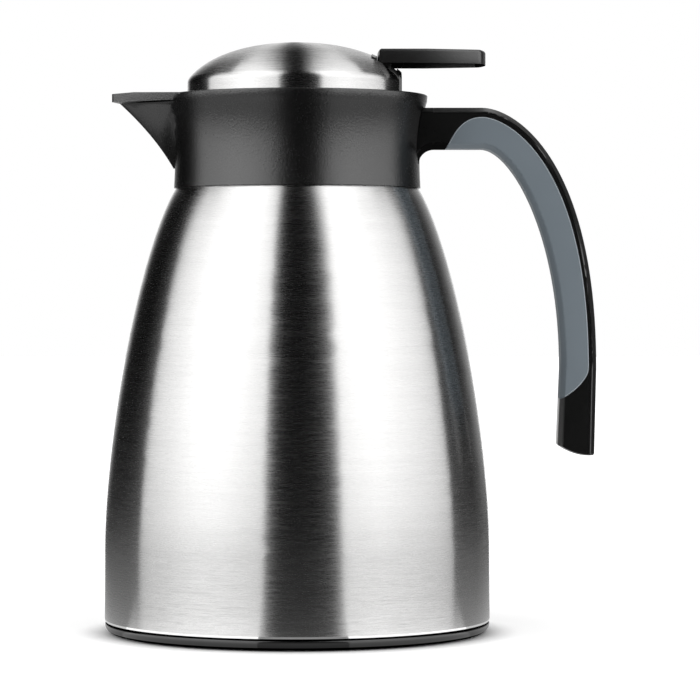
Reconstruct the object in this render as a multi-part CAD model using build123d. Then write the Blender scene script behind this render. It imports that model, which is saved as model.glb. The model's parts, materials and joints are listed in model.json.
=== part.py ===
"""A vacuum carafe with a pouring stopper that screws in and a thumb lever that lifts its valve.

Millimetres, +Z up. The origin is on the jug's axis, at the underside of the base pad.
The beak points to -X and the handle to +X.
"""
from build123d import *

import os
from math import acos, atan2, cos, hypot, radians, sin, sqrt, tan

# Body shell and flask
body_radius = 75.0
body_straight_top = 33.3
shell_foot = 4.8
shoulder_height = 172.9
shoulder_radius = 47.2
shoulder_slope = 31.3
belly_pull = 40.5
shoulder_pull = 27.9
shell_wall = 0.6
flask_wall = 0.5
neck_bore_radius = 36.5
neck_outer_radius = 39.5
neck_length = 14.6
flask_floor = 18.0
flask_corner = 12.0

# Bottom disc, getter and sealing bead
bottom_disc_height = 10.4
bottom_dish_rise = 2.0
bottom_dish_radius = 62.0
bottom_dish_width = 6.0
dimple_radius = 6.0
dimple_depth = 1.4
vent_radius = 1.0
bead_radius = 4.5
getter_radius = 9.0
getter_thickness = 2.4
getter_offset = 26.0

# Base cup and pad
cup_setback = 0.1
cup_bottom_radius = 3.4
cup_wall = 2.0
cup_snap_height = 9.0
pad_radius = 62.0
pad_thickness = 1.8
pad_proud = 0.4
pad_groove_depth = 0.6
pad_groove_width = 2.0
pad_groove_pitch = 8.0
pad_groove_count = 3

# Collar
collar_height = 36.0
collar_foot_radius = 48.0
collar_waist_radius = 47.3
collar_brim_radius = 50.7
collar_brim_round = 1.9
collar_wall = 2.6
sleeve_wall = 2.4
sleeve_clearance = 0.3
gasket_thickness = 1.2
thread_length = 7.8
chamber_radius = 41.5
lid_recess_depth = 4.1
lid_recess_radius = 43.3

# Beak
beak_root_rise = 7.2
beak_depth = 25.7
beak_reach = 21.1
beak_root_slope = 0.55
beak_half_width = 22.0
beak_width_power = 0.55
beak_tip_round = 3.0
beak_wall = 2.4
beak_lip_reach = 3.1
beak_lip_flare = 0.6
beak_rim_rise = 1.0
beak_tip_dip = 0.35
beak_steps = 5
beak_first_step = 0.1
beak_dip_length = 9.0

# Handle
handle_half_width = 11.0
handle_top_drop = 5.0
handle_bend_start = 71.6
handle_back_reach = 116.1
handle_bend_length = 100.9
handle_back_pull_out = 13.1
handle_back_pull_up = 80.9
handle_root_depth = 15.7
handle_tail_depth = 13.6
handle_front_pull_out = 11.6
handle_front_pull_up = 53.0
handle_length = 134.7
handle_tail_rise = 3.8
handle_tail_bulge = 1.3
handle_tail_lean = 0.8
handle_tail_narrowing = 1.3
handle_edge_round = 2.4
handle_tail_round = 0.9
handle_root_fillet = 6.0
cover_depth = 2.3
grip_start = 57.7
grip_back_inset_top = 3.6
grip_back_inset_tail = 3.0
grip_end_rise = 21.9
grip_thickness = 2.2
seam = 0.1
handle_screw_radius = 1.5
handle_screw_head_radius = 2.7
handle_screw_head_height = 1.6
handle_screw_length = 14.0
handle_screw_spacing = 11.0
handle_screw_drop = 13.2

# Lid dome and deck
dome_radius = 42.75
dome_gap = 0.5
dome_skirt = 4.1
dome_rise = 16.0
dome_corner_radius = 3.7
dome_corner_angle = 41.0
dome_shoulder_pull = 16.2
dome_crown_pull = 9.0
dome_sheet = 0.6
deck_clearance = 0.4
deck_gap = 0.05
deck_plate = 2.5
deck_upstand_height = 4.0
deck_upstand_wall = 1.6
lid_gasket_play = 0.2
spigot_depth = 1.5

# Stopper
stopper_radius = 34.5
stopper_wall = 2.2
stopper_length = 30.4
stopper_cap_thickness = 2.0
stopper_cap_spigot = 3.0
port_lintel = 2.4
port_height = 5.5
port_angle = 48.0
port_count = 4
thread_starts = 3
thread_lead = 24.0
thread_height = 2.4
thread_arc = 22.0
thread_end_gap = 0.4
thread_axial_clearance = 0.3
thread_radial_clearance = 0.3
bore_clearance = 0.1
seal_seat_rise = 6.0
seal_section = 3.0
seal_proud = 1.7
seal_land = 1.2
valve_hole_radius = 12.0
valve_lip_width = 1.6
valve_lip_height = 1.0
boss_radius = 3.2
boss_length = 9.0
deck_screw_radius = 1.2
deck_screw_head_radius = 2.4
deck_screw_head_height = 1.4
deck_screw_bite = 6.0

# Valve
stem_radius = 2.5
stem_clearance = 0.05
valve_seal_thickness = 1.6
valve_seal_overhang = 1.6
valve_disc_thickness = 2.0
valve_clearance = 0.3
stem_cap_radius = 6.0
stem_cap_thickness = 2.2
stem_cap_socket = 3.0
stem_guide_wall = 2.0
stem_guide_height = 2.2
stem_seal_wall = 2.4
stem_seal_thickness = 1.4
spring_wire_radius = 0.55
spring_radius = 6.0
spring_turns = 6.5
spring_seat_gap = 0.15

# Lever and its housing
slot_front = 29.0
slot_half_width = 16.2
slot_clearance = 0.15
housing_back = 40.5
housing_back_height = 9.6
housing_back_wall = 1.8
housing_floor = 1.2
housing_cheek = 3.0
housing_lip_depth = 2.0
housing_lip_height = 0.9
housing_proud = 0.5
housing_corner_round = 1.4
pin_x = 33.4
pin_rise = 5.2
pin_radius = 1.5
pin_clearance = 0.05
pin_end_inset = 1.0
lever_rise = 6.1
lever_thickness = 5.5
lever_front = 31.8
lever_front_bulge = 0.6
lever_length = 41.5
lever_half_width = 15.8
lever_gap = 0.5
lever_taper_start = 50.0
lever_end_half_width = 10.4
lever_end_bulge = 2.2
lever_corner_round = 2.4
lever_edge_round = 1.2
lever_shell = 1.6
lever_pocket_start = 41.0
lever_root_thickness = 4.6
lever_root_gap = 0.4
lever_boss_radius = 3.1
fork_prong_width = 3.0
fork_prong_height = 3.4
fork_slot_play = 0.7
fork_tip_overrun = 1.0
fork_lift_gap = 0.35
housing_screw_radius = 1.1
housing_screw_head_radius = 2.1
housing_screw_head_height = 1.4
housing_screw_bite = 3.6
housing_screw_x = 36.2

# Levels and radii that follow from the values above
collar_top = shoulder_height + collar_height
beak_root_height = shoulder_height + beak_root_rise
handle_top = collar_top - handle_top_drop
handle_back_bend_end = handle_top - handle_bend_length
handle_tail_height = handle_top - handle_length
grip_end_height = handle_tail_height + grip_end_rise
dome_foot = collar_top + dome_gap
pin_height = dome_foot + pin_rise
lever_bottom = pin_height + lever_rise
housing_back_top = dome_foot + housing_back_height
vacuum_gap = shoulder_radius - shell_wall - neck_bore_radius - flask_wall
neck_top = shoulder_height + neck_length
rim_top = neck_top + flask_wall
flange_height = rim_top + gasket_thickness
chamber_floor = flange_height + thread_length
lid_seat = collar_top - lid_recess_depth
sleeve_bore_radius = neck_bore_radius + bore_clearance
sleeve_radius = neck_outer_radius + sleeve_clearance + sleeve_wall
lid_gasket_bottom = lid_seat + lid_gasket_play
lid_gasket_top = lid_gasket_bottom + gasket_thickness
deck_bottom = lid_gasket_top + lid_gasket_play
deck_top = deck_bottom + deck_plate
deck_rim_top = dome_foot - deck_gap
deck_radius = lid_recess_radius - deck_clearance
spigot_bottom = deck_bottom - spigot_depth
stopper_bottom_height = deck_bottom - stopper_length
seal_seat_height = stopper_bottom_height + seal_seat_rise
dome_shoulder = dome_foot + dome_skirt
dome_top = dome_shoulder + dome_rise
stopper_bore = stopper_radius - stopper_wall
port_sill = deck_bottom - port_lintel - port_height
deck_screw_circle = stopper_bore - boss_radius / 2
valve_lip_top = stopper_bottom_height + valve_lip_height
valve_seal_bottom = valve_lip_top + valve_clearance
valve_disc_bottom = valve_seal_bottom + valve_seal_thickness
valve_disc_top = valve_disc_bottom + valve_disc_thickness
valve_disc_radius = valve_hole_radius + valve_lip_width + valve_seal_overhang
fork_top = pin_height + fork_prong_height / 2
stem_cap_bottom = fork_top + fork_lift_gap
housing_bottom = deck_rim_top + deck_gap
handle_screw_height = handle_top - handle_screw_drop


def at(x, z):
    """A point of the carafe's side view."""
    return (x, z)


def path(*corners):
    """Straight edges through side-view points."""
    return [Line(a, b) for a, b in zip(corners, corners[1:])]


def revolved(edges):
    """A solid of revolution about the jug's axis from a closed side-view outline."""
    return revolve(Plane.XZ * Face(Wire(edges)), Axis.Z)


def turned(*corners):
    """A solid of revolution from a closed outline of straight edges."""
    return revolved(path(*corners, corners[0]))


def disc(radius, low, high, x=0, y=0):
    """An upright cylinder between two heights."""
    return Pos(x, y, low) * Cylinder(radius, high - low, align=(Align.CENTER, Align.CENTER, Align.MIN))


def tube(outer, inner, low, high):
    """An upright ring between two heights."""
    return disc(outer, low, high) - disc(inner, low, high)


def block(x_low, x_high, half_width, z_low, z_high):
    """A box centred on the carafe's plane of symmetry."""
    centre = ((x_low + x_high) / 2, 0, (z_low + z_high) / 2)
    return Pos(*centre) * Box(x_high - x_low, 2 * half_width, z_high - z_low)


def side_slab(edges, half_width):
    """A closed side-view outline, made solid to both sides of the plane of symmetry."""
    return extrude(Plane.XZ * Face(Wire(edges)), half_width, both=True)


def write(solid, node):
    """Write one sub-part."""
    export_step(solid, f"parts/{node}.step")


def body_curve(inset, drop=0.0):
    """The body's flank, from the top of its straight band up to the shoulder, moved inwards."""
    slope = radians(shoulder_slope)
    end_radius = shoulder_radius - inset + drop * tan(slope)
    end_height = shoulder_height - drop
    foot_radius = body_radius - inset
    return Bezier(
        at(foot_radius, body_straight_top),
        at(foot_radius, body_straight_top + belly_pull),
        at(end_radius + shoulder_pull * sin(slope), end_height - shoulder_pull * cos(slope)),
        at(end_radius, end_height),
    )


def make_outer_shell():
    """The brushed steel skin, turned in at the shoulder and up into the neck."""
    inner_foot = body_radius - shell_wall
    neck_inner = neck_outer_radius - shell_wall
    ledge = shoulder_height - shell_wall
    outer = body_curve(0)
    inner = body_curve(shell_wall, shell_wall)
    inner_end = inner @ 1
    edges = [
        *path((inner_foot, body_straight_top), (inner_foot, shell_foot), (body_radius, shell_foot)),
        *path((body_radius, shell_foot), (body_radius, body_straight_top)),
        outer,
        *path((shoulder_radius, shoulder_height), (neck_outer_radius, shoulder_height)),
        *path((neck_outer_radius, shoulder_height), (neck_outer_radius, neck_top)),
        *path((neck_outer_radius, neck_top), (neck_inner, neck_top), (neck_inner, ledge)),
        *path((neck_inner, ledge), (inner_end.X, inner_end.Y)),
        inner,
    ]
    return revolved(edges)


def flask_side(inset, floor):
    """The flask's wall from the middle of its floor to the foot of its neck."""
    wall_radius = body_radius - inset
    corner = flask_corner - (floor - flask_floor)
    round_centre = floor + corner
    return [
        *path((0, floor), (wall_radius - corner, floor)),
        RadiusArc(at(wall_radius - corner, floor), at(wall_radius, round_centre), -corner),
        *path((wall_radius, round_centre), (wall_radius, body_straight_top)),
        body_curve(inset),
    ]


def make_inner_flask():
    """The flask, whose rim is folded outwards onto the shell's neck."""
    outer_inset = shell_wall + vacuum_gap
    inner_inset = outer_inset + flask_wall
    neck_radius = neck_bore_radius + flask_wall
    edges = [
        *flask_side(outer_inset, flask_floor),
        *path((neck_radius, shoulder_height), (neck_radius, neck_top), (neck_outer_radius, neck_top)),
        *path((neck_outer_radius, neck_top), (neck_outer_radius, rim_top), (neck_bore_radius, rim_top)),
        *path((neck_bore_radius, rim_top), (neck_bore_radius, shoulder_height)),
        *flask_side(inner_inset, flask_floor + flask_wall),
        *path((0, flask_floor + flask_wall), (0, flask_floor)),
    ]
    return revolved(edges)


def make_shell_bottom():
    """The dished steel disc that closes the vacuum space, with a vented dimple at its centre."""
    rim_outer = body_radius - shell_wall
    rim_inner = rim_outer - shell_wall
    flat = bottom_disc_height
    dish = flat + bottom_dish_rise
    dimple = dish + dimple_depth
    dish_edge = bottom_dish_radius - bottom_dish_width
    return turned(
        (rim_outer, shell_foot),
        (rim_outer, flat),
        (bottom_dish_radius, flat),
        (dish_edge, dish),
        (dimple_radius + shell_wall, dish),
        (dimple_radius, dimple),
        (vent_radius, dimple),
        (vent_radius, dimple - shell_wall),
        (dimple_radius - shell_wall, dimple - shell_wall),
        (dimple_radius, dish - shell_wall),
        (dish_edge, dish - shell_wall),
        (bottom_dish_radius, flat - shell_wall),
        (rim_inner, flat - shell_wall),
        (rim_inner, shell_foot),
    )


def make_seal_bead():
    """The bead that closes the vent, in the dimple's recess."""
    top = bottom_disc_height + bottom_dish_rise + dimple_depth - shell_wall
    return disc(bead_radius, top - dimple_depth, top)


def make_getter():
    """The getter's holder, on the underside of the flask's floor."""
    low = flask_floor - getter_thickness
    holder = disc(getter_radius, low, flask_floor, x=getter_offset)
    return holder - disc(getter_radius / 2, low, low + getter_thickness / 2, x=getter_offset)


def make_base_cup():
    """The plastic cup under the body, whose ring shows below the steel."""
    radius = body_radius - cup_setback
    snap_outer = body_radius - 2 * shell_wall - sleeve_clearance
    snap_inner = snap_outer - cup_wall
    pocket = pad_radius + bore_clearance
    floor_top = pad_thickness + cup_wall
    bottom_edge = at(radius - cup_bottom_radius, pad_proud)
    side_edge = at(radius, pad_proud + cup_bottom_radius)
    edges = [
        *path((0, pad_thickness), (pocket, pad_thickness), (pocket, pad_proud)),
        *path((pocket, pad_proud), (radius - cup_bottom_radius, pad_proud)),
        RadiusArc(bottom_edge, side_edge, -cup_bottom_radius),
        *path((radius, pad_proud + cup_bottom_radius), (radius, shell_foot), (snap_outer, shell_foot)),
        *path((snap_outer, shell_foot), (snap_outer, cup_snap_height), (snap_inner, cup_snap_height)),
        *path((snap_inner, cup_snap_height), (snap_inner, floor_top), (0, floor_top), (0, pad_thickness)),
    ]
    return revolved(edges)


def make_base_pad():
    """The full-disc rubber pad that the carafe stands on, with grooves near its edge."""
    pad = disc(pad_radius, 0, pad_thickness)
    for number in range(1, pad_groove_count + 1):
        groove_outer = pad_radius - number * pad_groove_pitch
        pad -= tube(groove_outer, groove_outer - pad_groove_width, 0, pad_groove_depth)
    return pad


def collar_envelope(grow=0.0):
    """The collar's outer form, drawn in at the waist and flared to the brim."""
    height = collar_top - shoulder_height
    foot = collar_foot_radius + grow
    waist = collar_waist_radius + grow
    brim = collar_brim_radius + grow
    brim_height = collar_top - collar_brim_round
    flank = Bezier(
        at(foot, shoulder_height),
        at(waist, shoulder_height + height / 3),
        at(waist, shoulder_height + 2 * height / 3),
        at(brim, brim_height),
    )
    edges = [
        flank,
        RadiusArc(at(brim, brim_height), at(brim - collar_brim_round, collar_top), -collar_brim_round),
        *path((brim - collar_brim_round, collar_top), (0, collar_top), (0, shoulder_height)),
        *path((0, shoulder_height), (foot, shoulder_height)),
    ]
    return revolved(edges)


def beak_front(height):
    """How far the beak's underside stands out at a height, up to the lip."""
    rise = height - beak_root_height
    bow = (beak_reach - beak_root_slope * beak_depth) / beak_depth**2
    return collar_foot_radius + beak_root_slope * rise + bow * rise**2


def beak_side(height):
    """The beak's half width at a height, where it leaves the collar."""
    full_rise = collar_top - beak_root_height
    return beak_half_width * ((height - beak_root_height) / full_rise) ** beak_width_power


def beak_section(height, front, side, inner_x):
    """A level section of the beak: a V with a rounded tip, carried inwards to inner_x."""
    tip_round = beak_tip_round * sqrt(side / beak_half_width)
    shoulder_x = sqrt(collar_waist_radius**2 - side**2)
    centre_x = front - tip_round
    span = hypot(centre_x - shoulder_x, side)
    tangent = atan2(side, centre_x - shoulder_x) + acos(tip_round / span)
    touch_x = -centre_x + tip_round * cos(tangent)
    touch_y = tip_round * sin(tangent)
    edges = [
        Line((-inner_x, -side, height), (-shoulder_x, -side, height)),
        Line((-shoulder_x, -side, height), (touch_x, -touch_y, height)),
        ThreePointArc((touch_x, -touch_y, height), (-front, 0, height), (touch_x, touch_y, height)),
        Line((touch_x, touch_y, height), (-shoulder_x, side, height)),
        Line((-shoulder_x, side, height), (-inner_x, side, height)),
        Line((-inner_x, side, height), (-inner_x, -side, height)),
    ]
    return Face(Wire(edges))


def make_beak():
    """The solid form of the pouring beak, with a lip at its tip."""
    inner_x = chamber_radius - collar_wall
    lip_bottom = beak_root_height + beak_depth
    flare_top = lip_bottom + beak_lip_flare
    rim = collar_top + beak_rim_rise
    lip_front = beak_front(lip_bottom) + beak_lip_reach
    step = beak_depth / (beak_steps + beak_first_step)
    levels = [beak_root_height + step * (number + beak_first_step) for number in range(beak_steps + 1)]
    lower = loft([beak_section(level, beak_front(level), beak_side(level), inner_x) for level in levels])
    foot_section = beak_section(lip_bottom, beak_front(lip_bottom), beak_side(lip_bottom), inner_x)
    flare_section = beak_section(flare_top, lip_front, beak_side(flare_top), inner_x)
    rim_section = beak_section(rim, lip_front, beak_side(collar_top), inner_x)
    flare = loft([foot_section, flare_section], ruled=True)
    lip = loft([flare_section, rim_section], ruled=True)
    above_rim = path(
        (-lip_front - beak_wall, rim - beak_tip_dip),
        (-lip_front, rim - beak_tip_dip),
        (-lip_front + beak_dip_length, rim),
        (-inner_x, collar_top),
        (-inner_x, rim + beak_wall),
        (-lip_front - beak_wall, rim + beak_wall),
        (-lip_front - beak_wall, rim - beak_tip_dip),
    )
    return lower + flare + lip - side_slab(above_rim, beak_half_width)


def make_trough():
    """The channel in the beak, from the pouring chamber to the open lip."""
    inner_x = chamber_radius - collar_wall
    lip_bottom = beak_root_height + beak_depth
    rim = collar_top + beak_rim_rise
    sections = []
    for level in (chamber_floor, (chamber_floor + lip_bottom) / 2, lip_bottom):
        front = beak_front(level - beak_wall)
        sections.append(beak_section(level, front, beak_side(level) - beak_wall, inner_x))
    above = rim + beak_wall
    lip_front = beak_front(lip_bottom) + beak_lip_reach - beak_wall
    top_section = beak_section(above, lip_front, beak_side(collar_top) - beak_wall, inner_x)
    return loft(sections, ruled=True) + loft([sections[-1], top_section], ruled=True)


def thread_ridges(root_radius, crest_radius, arc, low, high):
    """Helical ridges of the stopper's thread, all starts, between two heights."""
    angle = 360 / thread_starts
    turn = 360 * (high - low) / thread_lead
    start_angle = 360 * low / thread_lead
    ridges = []
    for number in range(thread_starts):
        middle = start_angle + number * angle
        first = radians(middle - arc / 2)
        last = radians(middle + arc / 2)
        half = radians(middle)
        corners = [
            (radius * cos(turned_to), radius * sin(turned_to), low)
            for radius, turned_to in (
                (root_radius, first),
                (crest_radius, first),
                (crest_radius, half),
                (crest_radius, last),
                (root_radius, last),
                (root_radius, half),
            )
        ]
        a, b, c, d, e, f = corners
        outline = Wire([Line(a, b), ThreePointArc(b, c, d), Line(d, e), ThreePointArc(e, f, a)])
        ridges.append(
            Solid.extrude_linear_with_rotation(Face(outline), (0, 0, low), (0, 0, high - low), turn)
        )
    return ridges


def handle_screw_places():
    """The two places across the handle's width where its screws go."""
    return (-handle_screw_spacing / 2, handle_screw_spacing / 2)


def lying_rod(radius, x_low, x_high, y, z):
    """A rod along X."""
    middle = ((x_low + x_high) / 2, y, z)
    return Pos(*middle) * Rot(0, 90, 0) * Cylinder(radius, x_high - x_low)


def cross_rod(radius, half_length, x, z):
    """A rod along Y, centred on the plane of symmetry."""
    return Pos(x, 0, z) * Rot(90, 0, 0) * Cylinder(radius, 2 * half_length)


def make_collar():
    """The black collar with its beak, pouring chamber, thread sleeve and cored underside."""
    void_top = chamber_floor - collar_wall
    void_outer = collar_waist_radius - collar_wall
    neck_room = neck_outer_radius + sleeve_clearance
    screw_hole = handle_screw_radius + bore_clearance
    collar = collar_envelope() + make_beak()
    collar -= tube(void_outer, sleeve_radius, shoulder_height, void_top)
    collar -= disc(neck_room, shoulder_height, flange_height)
    collar -= disc(sleeve_bore_radius, flange_height, chamber_floor)
    collar -= disc(chamber_radius, chamber_floor, lid_seat)
    collar -= disc(lid_recess_radius, lid_seat, collar_top)
    collar -= make_trough()
    for ridge in thread_ridges(
        stopper_radius,
        stopper_radius + thread_height + thread_radial_clearance,
        thread_arc + 2 * 360 * thread_axial_clearance / thread_lead,
        flange_height,
        chamber_floor,
    ):
        collar -= ridge
    for y in handle_screw_places():
        collar -= lying_rod(screw_hole, sleeve_radius, collar_brim_radius, y, handle_screw_height)
    return collar


def make_neck_gasket():
    """The ring between the flask's rim and the collar's inner flange."""
    return tube(neck_outer_radius, sleeve_bore_radius, rim_top, flange_height)


def handle_back_curve(inset=0.0):
    """The bend of the handle's back, moved inwards."""
    return Bezier(
        at(handle_bend_start, handle_top - inset),
        at(handle_bend_start + handle_back_pull_out, handle_top - inset),
        at(handle_back_reach - inset, handle_back_bend_end + handle_back_pull_up),
        at(handle_back_reach - inset, handle_back_bend_end),
    )


def handle_front_curve(inset=0.0):
    """The bend of the handle's inner edge, moved towards the back."""
    level = handle_top - handle_root_depth + inset
    reach = handle_back_reach - handle_tail_depth + inset
    return Bezier(
        at(reach, handle_back_bend_end),
        at(reach, handle_back_bend_end + handle_front_pull_up),
        at(handle_bend_start + handle_front_pull_out, level),
        at(handle_bend_start, level),
    )


def handle_outline(back_inset, front_inset, end_inset):
    """The handle's side view, with its back, inner edge and end moved inwards."""
    top = handle_top - back_inset
    level = handle_top - handle_root_depth + front_inset
    back = handle_back_reach - back_inset
    front = handle_back_reach - handle_tail_depth + front_inset
    tail_back = (back - handle_tail_lean, handle_tail_height + end_inset)
    tail_front = (front - handle_tail_narrowing, handle_tail_height + handle_tail_rise + end_inset)
    root = collar_waist_radius - collar_wall
    fillet_end = collar_waist_radius + handle_root_fillet
    fillet = handle_root_fillet + front_inset
    edges = [
        *path((root, top), (handle_bend_start, top)),
        handle_back_curve(back_inset),
        *path((back, handle_back_bend_end), tail_back),
        SagittaArc(at(*tail_back), at(*tail_front), handle_tail_bulge),
        *path(tail_front, (front, handle_back_bend_end)),
        handle_front_curve(front_inset),
        *path((handle_bend_start, level), (fillet_end, level)),
        RadiusArc(at(fillet_end, level), at(fillet_end - fillet, level - fillet), -fillet),
        *path((fillet_end - fillet, level - fillet), (root, level - fillet), (root, top)),
    ]
    return edges


def make_handle_form():
    """The whole handle as one solid with rounded edges, trimmed to the collar."""
    form = side_slab(handle_outline(0, 0, 0), handle_half_width)
    tail_top = handle_tail_height + handle_tail_rise
    side_edges = [edge for edge in form.edges() if abs(edge.center().Y) > handle_half_width - seam]
    form = fillet(
        [
            edge
            for edge in side_edges
            if edge.center().X > collar_waist_radius and edge.center().Z > tail_top
        ],
        handle_edge_round,
    )
    form = fillet(
        [edge for edge in form.edges() if edge.bounding_box().max.Z < tail_top + handle_edge_round],
        handle_tail_round,
    )
    return form - collar_envelope(seam)


def grip_region(inset):
    """The part of the handle's side view that the grip covers."""
    top = handle_top - grip_back_inset_top - inset
    back = handle_back_reach - grip_back_inset_tail - inset
    below = handle_top - handle_root_depth - grip_thickness
    inside = handle_back_reach - handle_tail_depth - handle_edge_round - grip_thickness
    start = grip_start + inset
    rise = top - (handle_top - handle_root_depth)
    tail = back - (handle_back_reach - handle_tail_depth)
    end = grip_end_height + inset
    root_level = handle_top - handle_root_depth
    front_end = (handle_bend_start, top)
    tail_end = (back - tail, end)
    edges = [
        *path((start, below), (start, root_level)),
        Bezier(
            at(start, root_level),
            at(start + rise / 4, root_level + rise / 2),
            at(start + rise / 2, top),
            at(*front_end),
        ),
        Bezier(
            at(*front_end),
            at(handle_bend_start + handle_back_pull_out - grip_back_inset_top, top),
            at(back, handle_back_bend_end + handle_back_pull_up),
            at(back, handle_back_bend_end),
        ),
        Bezier(
            at(back, handle_back_bend_end),
            at(back, end + tail * 3 / 4),
            at(back - tail / 2, end + tail / 4),
            at(*tail_end),
        ),
        *path(tail_end, (inside, end)),
        Bezier(
            at(inside, end),
            at(inside, handle_back_bend_end + handle_front_pull_up),
            at(handle_bend_start, below),
            at(start, below),
        ),
    ]
    return edges


def handle_core(grow):
    """The handle's spine, which the grip wraps round on three sides."""
    core_inset = grip_thickness - grow
    half_width = handle_half_width - grip_thickness + grow
    return side_slab(handle_outline(0, core_inset, 0), half_width)


def make_grip(form):
    """The soft insert on the handle's sides and inner edge."""
    return (form & side_slab(grip_region(seam), handle_half_width)) - handle_core(seam)


def inside_back(inset):
    """Everything in front of the handle's back when that is moved inwards."""
    top = handle_top - inset
    back = handle_back_reach - inset
    low = handle_tail_height - handle_tail_rise
    edges = [
        *path((0, top), (handle_bend_start, top)),
        handle_back_curve(inset),
        *path((back, handle_back_bend_end), (back - handle_tail_lean, handle_tail_height)),
        *path((back - handle_tail_lean, handle_tail_height), (back - handle_tail_lean, low)),
        *path((back - handle_tail_lean, low), (0, low), (0, top)),
    ]
    return side_slab(edges, handle_half_width)


def cover_room(gap):
    """The room behind the handle's parting surface, from just outside the collar."""
    start = collar_brim_radius + cover_depth - gap
    behind = block(start, handle_back_reach, handle_half_width, 0, handle_top)
    return behind - inside_back(cover_depth + gap)


def make_back_cover(form):
    """The strip that closes the handle's back."""
    return form & cover_room(0)


def make_handle_frame(form):
    """The handle's black frame, with room for the grip, the cover and the screws."""
    frame = form - (side_slab(grip_region(0), handle_half_width) - handle_core(0)) - cover_room(seam)
    tip = sleeve_radius + handle_screw_length
    for y in handle_screw_places():
        frame -= lying_rod(handle_screw_radius, sleeve_radius, tip, y, handle_screw_height)
    return frame


def make_handle_screws():
    """Two screws from the collar's cored underside into the handle's root."""
    head_seat = collar_waist_radius - collar_wall
    tip = sleeve_radius + handle_screw_length
    screws = []
    for y in handle_screw_places():
        seat_x = sqrt(head_seat**2 - (abs(y) + handle_screw_head_radius) ** 2)
        shank = lying_rod(handle_screw_radius, seat_x, tip, y, handle_screw_height)
        head_inner = seat_x - handle_screw_head_height
        head = lying_rod(handle_screw_head_radius, head_inner, seat_x, y, handle_screw_height)
        screws.append(head + shank)
    return Compound(screws)


def dome_profile(shrink=0.0):
    """The dome's outline from its foot to its crown, as edges."""
    radius = dome_radius - shrink
    crown = dome_top - shrink
    skirt = Line(at(radius, dome_foot), at(radius, dome_shoulder))
    turn = radians(dome_corner_angle)
    corner = JernArc(at(radius, dome_shoulder), (0, 1), dome_corner_radius - shrink, dome_corner_angle)
    start = corner @ 1
    curve = Bezier(
        start,
        at(start.X - dome_shoulder_pull * sin(turn), start.Y + dome_shoulder_pull * cos(turn)),
        at(dome_crown_pull, crown),
        at(0, crown),
    )
    return skirt, corner, curve


def dome_solid(shrink=0.0):
    """The space under the dome's outline."""
    radius = dome_radius - shrink
    crown = dome_top - shrink
    return revolved([*dome_profile(shrink), *path((0, crown), (0, dome_foot), (radius, dome_foot))])


def slot_space(clearance):
    """The slot at the dome's back, from its front edge out past the rim."""
    return block(
        slot_front - clearance,
        dome_radius + deck_plate,
        slot_half_width + clearance,
        deck_bottom,
        dome_top + lever_thickness,
    )


def make_dome():
    """The lid's steel dome, open at the back for the lever."""
    return dome_solid() - dome_solid(dome_sheet) - slot_space(slot_clearance)


def deck_screw_places():
    """Where the stopper is screwed to the deck, between the ports."""
    turn = 360 / port_count
    angles = [radians(turn * (number + 0.5)) for number in range(port_count)]
    return [(deck_screw_circle * cos(angle), deck_screw_circle * sin(angle)) for angle in angles]


def housing_screw_places():
    """Where the lever's housing is screwed to the deck, under its cheeks."""
    y = slot_half_width - housing_cheek / 2
    return [(housing_screw_x, -y), (housing_screw_x, y)]


def make_deck():
    """The lid's black deck: rim, upstand inside the dome, spigot and stem guide."""
    upstand_outer = dome_radius - dome_sheet - slot_clearance
    upstand_inner = upstand_outer - deck_upstand_wall
    guide_radius = stem_radius + stem_clearance + stem_guide_wall
    hole_radius = stem_radius + stem_clearance
    deck = disc(deck_radius, deck_bottom, deck_top) + tube(deck_radius, upstand_inner, deck_top, deck_rim_top)
    upstand = tube(upstand_outer, upstand_inner, deck_rim_top, dome_foot + deck_upstand_height)
    deck += upstand - slot_space(2 * slot_clearance)
    deck += disc(stopper_bore - bore_clearance, spigot_bottom, deck_bottom)
    deck += disc(guide_radius, deck_top, deck_top + stem_guide_height)
    deck -= disc(hole_radius, spigot_bottom, deck_top + stem_guide_height)
    deck -= disc(stem_radius + stem_seal_wall, spigot_bottom, spigot_bottom + stem_seal_thickness)
    for x, y in deck_screw_places():
        deck -= disc(boss_radius + bore_clearance, spigot_bottom, deck_bottom, x, y)
        deck -= disc(deck_screw_radius + bore_clearance, deck_bottom, deck_top, x, y)
    for x, y in housing_screw_places():
        deck -= disc(housing_screw_radius + bore_clearance, deck_bottom, deck_rim_top, x, y)
    return deck


def make_stem_seal():
    """The wiper round the valve stem, in the underside of the deck."""
    return tube(
        stem_radius + stem_seal_wall, stem_radius + stem_clearance, spigot_bottom, spigot_bottom + stem_seal_thickness
    )


def seal_groove_levels():
    """The two heights between which the stopper's seal sits."""
    return seal_seat_height, seal_seat_height + seal_section


def make_stopper_tube():
    """The stopper's tube with ports, screw bosses, seal lands and a three-start thread."""
    low, high = seal_groove_levels()
    land_radius = stopper_radius + seal_land
    body = tube(stopper_radius, stopper_bore, stopper_bottom_height, deck_bottom)
    body += tube(land_radius, stopper_bore, low - seal_land, low)
    body += tube(land_radius, stopper_bore, high, high + seal_land)
    for x, y in deck_screw_places():
        boss = disc(boss_radius, deck_bottom - boss_length, deck_bottom, x, y)
        pilot = disc(deck_screw_radius, deck_bottom - deck_screw_bite, deck_bottom, x, y)
        body += boss & disc(stopper_radius, stopper_bottom_height, deck_bottom)
        body -= pilot
    for number in range(port_count):
        body -= make_port(360 * number / port_count)
    for ridge in thread_ridges(
        stopper_bore + stopper_wall / 2,
        stopper_radius + thread_height,
        thread_arc,
        flange_height + thread_end_gap,
        chamber_floor - thread_end_gap,
    ):
        body += ridge
    return body


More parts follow.
